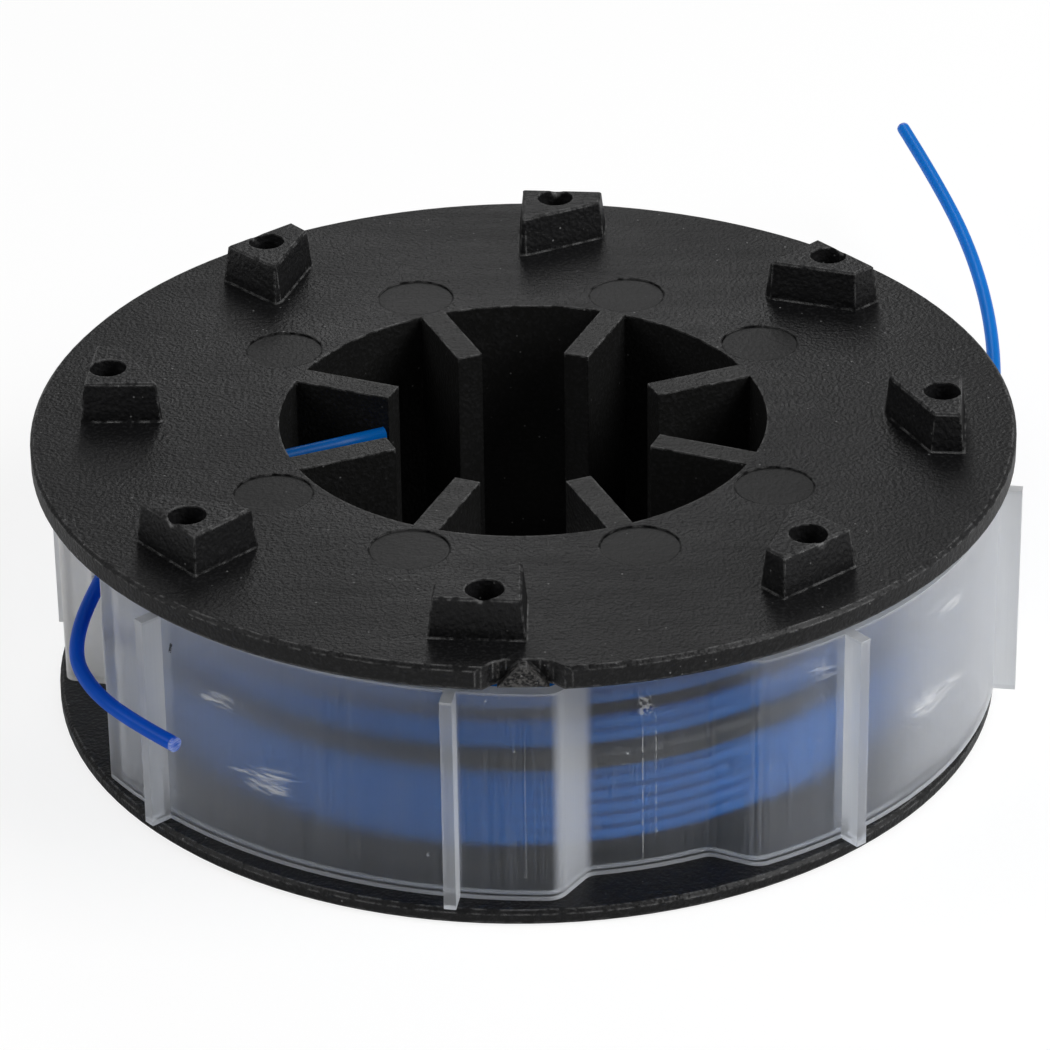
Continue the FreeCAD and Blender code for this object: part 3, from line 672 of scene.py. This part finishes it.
def winding(name, node, laid, lift, anchor):
    """Outer turns that end in the lift-off, an inner layer between them, and the anchored inner end."""
    paths = []
    first, turns, missing = laid
    lift_angle, lift_height = lift
    for index in range(turns):
        if index != missing:
            height = first + index * LINE_PITCH
            paths.append(laid_turns(TURN_RADIUS, height, height, 0, 360, index * 1.3 + turns))
    inner_first = first + LINE_PITCH / 2
    for index in range(turns - 1):
        height = inner_first + index * LINE_PITCH
        if missing is None or index not in (missing - 1, missing):
            paths.append(laid_turns(TURN_RADIUS - INNER_LAYER, height, height, 0, 360, index * 2.1))
    if missing is not None:
        height = first + missing * LINE_PITCH
        paths.append(laid_turns(TURN_RADIUS - DEEP_LAYER, height, height, 0, 360, 0.7))
    straight = [lift_off(lift_angle, lift_height, LIFT_LENGTH * step / 6) for step in range(7)]
    arc = [lift_off(lift_angle - back, lift_height, 0) for back in range(LIFT_ARC, 0, -4)]
    paths.append(arc + straight)
    paths.append(anchored_end(*anchor))
    piece = tube(name, paths)
    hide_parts(node)
    return piece


upper = winding("upper_turns", "upper_winding", UPPER_TURNS, LEFT_LIFT, UPPER_ANCHOR)
lower = winding("lower_turns", "lower_winding", LOWER_TURNS, RIGHT_LIFT, LOWER_ANCHOR)

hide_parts("left_line_end")
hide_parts("right_line_end")

# Materials on the pieces and the solids
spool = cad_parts["spool"]
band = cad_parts["retaining_band"]
dress(spool, black_plastic())
dress(band, frosted_plastic())
# The line's deep colour and the colour that shines through it, wound and at each free end. These are one
# line's colour in different tones, set to how light falls on each piece: painted light, brightest on the
# right free end as if backlit
WOUND_BLUE = ((0.000, 0.120, 0.40), (0.000, 0.24, 0.75))
LEFT_BLUE = ((0.000, 0.112, 0.53), (0.000, 0.27, 1.00))
RIGHT_BLUE = ((0.000, 0.22, 0.66), (0.000, 0.50, 1.00))
line_material = blue_line("blue_line", *WOUND_BLUE)
for piece in (upper, lower):
    dress(piece, line_material)
for piece, route, blues in ((left_end, LEFT_ROUTE, LEFT_BLUE), (right_end, RIGHT_ROUTE, RIGHT_BLUE)):
    tip = Vector(route[-1]) * MM
    heading = (tip - Vector(route[-2]) * MM).normalized()
    dress(piece, blue_line(f"{piece.name}_material", *blues, tip, heading))
for piece in (upper, lower, left_end, right_end):
    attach(piece, "root")


# Floor, world and lamps

FLOOR_HALF = 3.0
FLOOR_DROP = 0.05 * MM


def make_floor():
    """A pale floor that also glows white for the camera."""
    corners = [(-FLOOR_HALF, -FLOOR_HALF, 0), (FLOOR_HALF, -FLOOR_HALF, 0)]
    corners += [(FLOOR_HALF, FLOOR_HALF, 0), (-FLOOR_HALF, FLOOR_HALF, 0)]
    mesh = bpy.data.meshes.new("floor")
    mesh.from_pydata(corners, [], [(0, 1, 2, 3)])
    floor = bpy.data.objects.new("floor", mesh)
    floor.location.z = -FLOOR_DROP
    bpy.context.scene.collection.objects.link(floor)
    n = Nodes("floor")
    paper = n.new("ShaderNodeBsdfDiffuse", {"Color": (0.86, 0.86, 0.86, 1)})
    white = n.new("ShaderNodeEmission", {"Color": (1, 1, 1, 1), "Strength": 1.12})
    seen = n.new("ShaderNodeLightPath").outputs["Is Camera Ray"]
    mesh.materials.append(n.finish(n.join_shaders(n.times(seen, 0.72), paper.outputs[0], white.outputs[0])))


def make_world():
    """Soft even light, which is plain white to the camera and through the band."""
    world = bpy.data.worlds.new("world")
    bpy.context.scene.world = world
    world.use_nodes = True
    tree = world.node_tree
    tree.nodes.clear()
    path = tree.nodes.new("ShaderNodeLightPath")
    seen = tree.nodes.new("ShaderNodeMath")
    seen.operation = "MAXIMUM"
    tree.links.new(path.outputs["Is Camera Ray"], seen.inputs[0])
    tree.links.new(path.outputs["Is Transmission Ray"], seen.inputs[1])
    strength = tree.nodes.new("ShaderNodeMapRange")
    tree.links.new(seen.outputs[0], strength.inputs["Value"])
    strength.inputs["To Min"].default_value = 0.22
    strength.inputs["To Max"].default_value = 1.0
    background = tree.nodes.new("ShaderNodeBackground")
    background.inputs["Color"].default_value = (1, 1, 1, 1)
    tree.links.new(strength.outputs[0], background.inputs["Strength"])
    output = tree.nodes.new("ShaderNodeOutputWorld")
    tree.links.new(background.outputs[0], output.inputs["Surface"])


def make_lamp(name, place, aim, width, height, power):
    """A rectangular soft lamp that points at a place."""
    data = bpy.data.lights.new(name, "AREA")
    data.shape = "RECTANGLE"
    data.size = width
    data.size_y = height
    data.energy = power
    lamp = bpy.data.objects.new(name, data)
    lamp.location = place
    lamp.rotation_euler = (Vector(aim) - Vector(place)).to_track_quat("-Z", "Y").to_euler()
    bpy.context.scene.collection.objects.link(lamp)


make_floor()
make_world()
make_lamp("key_right", (0.55, -0.20, 0.50), (0, 0, 0.015), 0.45, 0.45, 4.3)
make_lamp("fill_left", (-0.60, -0.15, 0.45), (0, 0, 0.015), 0.40, 0.40, 1.4)
make_lamp("strip_back", (0.0, 0.50, 0.36), (0, 0, 0.02), 0.10, 0.34, 0.32)
bpy.context.scene.view_settings.view_transform = "Standard"
